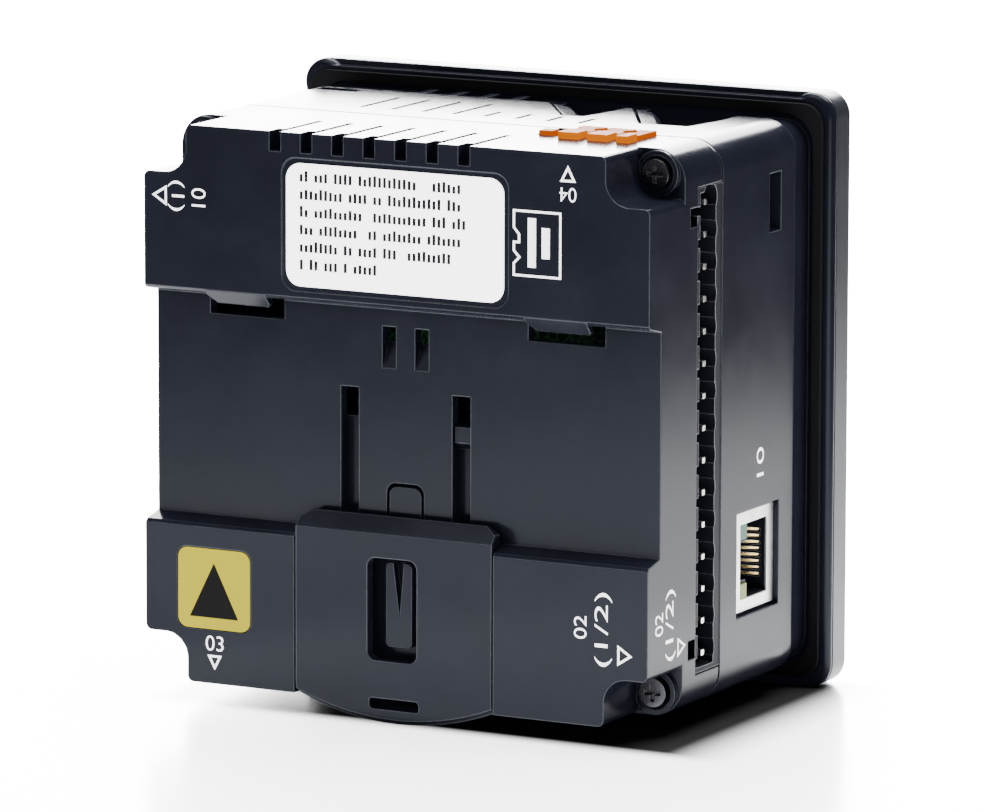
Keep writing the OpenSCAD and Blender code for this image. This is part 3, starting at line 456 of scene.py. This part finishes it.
marks = {
    "line": 0.36,
    "words": [  # face, word, centre, length and height, quarter turns
        ("rear", "01", (-34.75, 77.6), (2.9, 2.5), -1), ("rear", "(1)", (-38.8, 77.6), (4.8, 3.0), -1),
        ("rear", "04", (30.5, 82.65), (2.9, 2.2), 2), ("rear", "03", (-32.1, 6.5), (3.2, 2.4), 0),
        ("rear", "02", (32.95, 15.4), (3.6, 2.15), 1), ("rear", "(1/2)", (36.95, 15.35), (11.6, 3.0), 1),
        ("right", "02", (3.95, 16.1), (3.5, 2.6), 1), ("right", "(1/2)", (7.9, 15.4), (11.2, 3.4), 1),
        ("right", "01", (39.0, 36.2), (4.6, 2.4), -1),
    ],
    "triangles": [  # face, low and high corner, the way it points
        ("rear", (-43.2, 75.9), (-40.5, 79.2), "left"), ("rear", (29.1, 84.6), (31.9, 87.2), "up"),
        ("rear", (-33.4, 2.2), (-30.8, 4.6), "down"), ("rear", (39.4, 9.9), (42.0, 13.2), "right"),
        ("right", (10.3, 9.9), (13.1, 13.0), "right"),
    ],
    "card": [(21.0, 69.4), (29.4, 69.4), (29.4, 79.8), (21.0, 79.8), (21.0, 76.9), (21.9, 75.9), (21.9, 74.9),
             (21.0, 74.9), (21.0, 73.3), (21.9, 72.4), (21.0, 71.5)],
    "cardBars": [((23.6, 70.9), (25.0, 78.6)), ((26.0, 72.4), (27.4, 77.2))],
}


def makeMarks():
    meshes = {"rear": [], "right": []}
    for face, word, (x, z), size, turns in marks["words"]:
        mesh = figures(word, size)
        turn = Matrix.Rotation(turns * math.pi / 2, 4, "Z")
        mesh.transform(Matrix.Translation((x * mm, z * mm, 0)) @ turn)
        meshes[face].append(mesh)
    for face, low, high, way in marks["triangles"]:
        outer = triangle(low, high, way)
        meshes[face].append(flatShape([outer, outlineInset(outer, marks["line"])]))
    meshes["rear"].append(flatShape([marks["card"], outlineInset(marks["card"], marks["line"])]))
    for (x0, z0), (x1, z1) in marks["cardBars"]:
        meshes["rear"].append(flatShape([[(x0, z0), (x1, z0), (x1, z1), (x0, z1)]]))
    for face, parts in meshes.items():
        mesh = joined(parts, face + "Print")
        mesh.transform(faceMatrix(face))
        keep(face + "Print", mesh, ink["whitePrint"])


makeMarks()
print("white marks ready")


class Shape(Graph):  # a Geometry Nodes tree with its sizes as named inputs
    def __init__(self, name, sizes, material):
        super().__init__(bpy.data.node_groups.new(name, "GeometryNodeTree"))
        self.name, self.sizes, self.material = name, sizes, material
        rim = self.tree.interface
        rim.new_socket("Geometry", in_out="OUTPUT", socket_type="NodeSocketGeometry")
        kinds = {int: "NodeSocketInt", float: "NodeSocketFloat"}
        self.sockets = {key: rim.new_socket(key, in_out="INPUT", socket_type=kinds[type(value)])
                        for key, value in sizes.items()}
        self.inlet = self.tree.nodes.new("NodeGroupInput")

    def size(self, key):
        return Wire(self, self.inlet.outputs[key])

    def chance(self, low, high, number, seed):  # a random value that belongs to that number
        return self.add("FunctionNodeRandomValue", {"data_type": "FLOAT"},
                        {2: low, 3: high, "ID": number, "Seed": self.size("seed") + seed}, 1)

    def finish(self, geometry):
        real = self.add("GeometryNodeRealizeInstances", {}, {0: geometry})
        real = self.add("GeometryNodeSetMaterial", {}, {"Geometry": real, "Material": self.material})
        outlet = self.tree.nodes.new("NodeGroupOutput")
        self.put(outlet.inputs[0], real)
        obj = placed(self.name, bpy.data.meshes.new(self.name))
        modifier = obj.modifiers.new(self.name, "NODES")
        modifier.node_group = self.tree
        for key, value in self.sizes.items():
            modifier[self.sockets[key].identifier] = value
        return asMesh(obj)


# lengths in millimetres; shortest and longest count the strokes of a row, and lastShort how many fewer the
# lowest row has; wordGap is the share of the strokes that are left out
labelRows = {"rows": 6, "strokes": 35, "rowPitch": 2.77, "strokePitch": 0.87, "wide": 0.52, "low": 1.1,
             "high": 1.75, "shortest": 28.0, "longest": 34.0, "lastShort": 16.0, "wordGap": 0.17, "seed": 11,
             "middle": (-1.5, 74.5)}


def makeLabelPrint():  # rows of small strokes with gaps between the words
    lengths = ("rowPitch", "strokePitch", "wide", "low", "high")
    g = Shape("labelRows", {key: (value * mm if key in lengths else value)
                            for key, value in labelRows.items() if key != "middle"}, ink["darkPrint"])
    points = g.add("GeometryNodeMeshGrid", {}, {
        "Size X": g.size("strokePitch") * (g.size("strokes") - 1),
        "Size Y": g.size("rowPitch") * (g.size("rows") - 1),
        "Vertices X": g.size("strokes"), "Vertices Y": g.size("rows")})
    index = g.add("GeometryNodeInputIndex", {}, {})
    row = g.maths("MODULO", index, g.size("rows"))
    column = g.maths("FLOOR", g.maths("DIVIDE", index, g.size("rows")))
    ends = g.chance(g.size("shortest"), g.size("longest"), row, 0) - (row < 0.5) * g.size("lastShort")
    gap = (g.chance(0.0, 1.0, index, 1) < g.size("wordGap")) * (column > 0.5)
    points = g.add("GeometryNodeDeleteGeometry", {"domain": "POINT"},
                   {"Geometry": points, "Selection": (column > ends) + gap})
    tall = g.chance(g.size("low"), g.size("high"), index, 2)
    scale = g.add("ShaderNodeCombineXYZ", {}, {0: g.size("wide"), 1: tall, 2: inkThick * mm})
    cube = g.add("GeometryNodeMeshCube", {}, {"Size": (1, 1, 1)})
    stroke = g.add("GeometryNodeTransform", {}, {"Geometry": cube, "Translation": (0, 0.5, 0)})
    strokes = g.add("GeometryNodeInstanceOnPoints", {}, {"Points": points, "Instance": stroke, "Scale": scale})
    mesh = g.finish(strokes)
    x, z = labelRows["middle"]
    mesh.transform(faceMatrix("rear") @ Matrix.Translation((x * mm, z * mm, 0)))
    keep("labelPrint", mesh, ink["darkPrint"])


# in millimetres; flatness is the height of a ring's wire over its width, and gap is as in faceMatrix
keyRings = {"count": 5, "pitch": 16.4, "radius": 2.1, "wire": 0.22, "height": 11.0, "flatness": 0.04,
            "gap": 0.145}


def makeKeyPrint():  # a plain ring printed on each key of the front
    sizes = {key: keyRings[key] * mm for key in ("pitch", "radius", "wire")}
    g = Shape("keyRings", {"count": keyRings["count"], **sizes}, ink["whitePrint"])
    offset = g.add("ShaderNodeCombineXYZ", {}, {0: g.size("pitch")})
    line = g.add("GeometryNodeMeshLine", {}, {"Count": g.size("count"), "Offset": offset})
    circle = g.add("GeometryNodeCurvePrimitiveCircle", {}, {"Resolution": 40, "Radius": g.size("radius")})
    section = g.add("GeometryNodeCurvePrimitiveCircle", {}, {"Resolution": 6, "Radius": g.size("wire")})
    ring = g.add("GeometryNodeCurveToMesh", {}, {"Curve": circle, "Profile Curve": section})
    ring = g.add("GeometryNodeTransform", {}, {"Geometry": ring, "Scale": (1, 1, keyRings["flatness"])})
    mesh = g.finish(g.add("GeometryNodeInstanceOnPoints", {}, {"Points": line, "Instance": ring}))
    start = -(keyRings["count"] - 1) * keyRings["pitch"] / 2
    lift = Matrix.Translation((start * mm, keyRings["height"] * mm, 0))
    mesh.transform(faceMatrix("front", keyRings["gap"]) @ lift)
    keep("keyPrint", mesh, ink["whitePrint"])


sign = {"points": [(-36.6, 10.6), (-27.8, 10.6), (-32.2, 19.4)]}


def makeSignPrint():  # the plain triangle on the yellow label
    mesh = flatShape([sign["points"]])
    mesh.transform(faceMatrix("rear"))
    keep("signPrint", mesh, ink["signPrint"])


makeLabelPrint()
makeKeyPrint()
makeSignPrint()
print("labels and keys printed")

# in metres; sight is the cosine and sine of the photograph's azimuth and one over its distance, which give a
# place across its view; pale is where the floor is white and across how brightly it glows there, both from
# the left to the right; under is the painted shadow below the part, west to east and near to far, and its
# edges
floorLook = {
    "size": 6.0, "glow": 6.0, "rough": 0.22, "dark": (0.02, 0.02, 0.02), "white": (0.88, 0.88, 0.88),
    "sight": (0.884, 0.467, 0.766), "pale": (-0.10, -0.084, 0.084, 0.12),
    "across": [(-0.5, 0.1), (-0.45, 0.12), (-0.36, 0.22), (-0.29, 0.44), (-0.19, 1.0), (-0.13, 0.75),
               (-0.092, 0.48), (0.06, 0.48), (0.10, 0.95), (0.155, 0.92), (0.205, 0.86), (0.24, 0.44),
               (0.272, 0.03), (0.38, 0.0)],
    "under": {"x": (-0.044, 0.046), "y": (-0.0315, 0.0315), "crisp": 0.003, "soft": 0.014},
}


def makeFloor():
    bpy.ops.mesh.primitive_plane_add(size=floorLook["size"], location=(0, 0, 0))
    floor = bpy.context.object
    floor.name = "floor"
    f = Finish("paleFloor")
    x, y = f.along(0), f.along(1)
    cosine, sine, nearness = floorLook["sight"]
    aside = f.maths("DIVIDE", x * cosine + y * sine, (y * cosine - x * sine) * nearness + 1)
    stops = [(0.5 + place, (tone, tone, tone, 1)) for place, tone in floorLook["across"]]
    glow = f.add("ShaderNodeValToRGB", {"stops": stops}, {0: aside + 0.5})
    (west, east), (near, far) = floorLook["under"]["x"], floorLook["under"]["y"]
    crisp, soft = floorLook["under"]["crisp"], floorLook["under"]["soft"]
    # the painted shadow under the part darkens both the floor's colour and its glow
    under = f.rise(x, west - crisp, west + crisp) * f.spread(x, (west, west / 2), (0.9, 1.0))
    under = under * f.fall(x, east, east + soft)
    under = under * f.rise(y, near - crisp, near + crisp)
    under = under * f.fall(y, far - crisp, far + crisp)
    left0, left1, right0, right1 = floorLook["pale"]
    pale = f.spread(aside, (left0, left1)) * f.spread(aside, (right0, right1), (1.0, 0.0))
    pale = pale * (1 - under) * f.spread(f.noise(0.3), allNoise, (0.94, 1.0))
    f.set(Base_Color=f.blend(pale, shade(floorLook["dark"]), shade(floorLook["white"])),
          Roughness=floorLook["rough"], Emission_Color=f.blend(1 - under, shade(black), glow),
          Emission_Strength=floorLook["glow"])
    floor.data.materials.append(f.material)


# in metres and watts; all of them face the same point
lampAim = Vector((0, 0, 0.05))
lamps = {
    "backLamp": {"place": (-0.80, 1.45, 0.55), "size": (1.6, 1.1), "power": 190.0},
    "topLamp": {"place": (0.1, 0.3, 1.5), "size": (1.6, 1.2), "power": 130.0},
    "frontLamp": {"place": (-0.35, -0.95, 1.2), "size": (1.0, 0.8), "power": 14.0},
}


def makeLamp(name, place, size, power):
    lamp = bpy.data.lights.new(name, "AREA")
    lamp.shape, lamp.size, lamp.size_y, lamp.energy = "RECTANGLE", size[0], size[1], power
    obj = placed(name, lamp)
    obj.location = place
    obj.rotation_euler = (lampAim - Vector(place)).to_track_quat("-Z", "Y").to_euler()


surroundings = {"colour": (0.84, 0.91, 1), "strength": 0.1}


def makeWorld():
    world = bpy.data.worlds.new("studio")
    world.use_nodes = True
    sky = world.node_tree.nodes["Background"]
    sky.inputs["Color"].default_value = shade(surroundings["colour"])
    sky.inputs["Strength"].default_value = surroundings["strength"]
    bpy.context.scene.world = world


makeFloor()
for name, settings in lamps.items():
    makeLamp(name, **settings)
makeWorld()
print("floor and lamps ready")
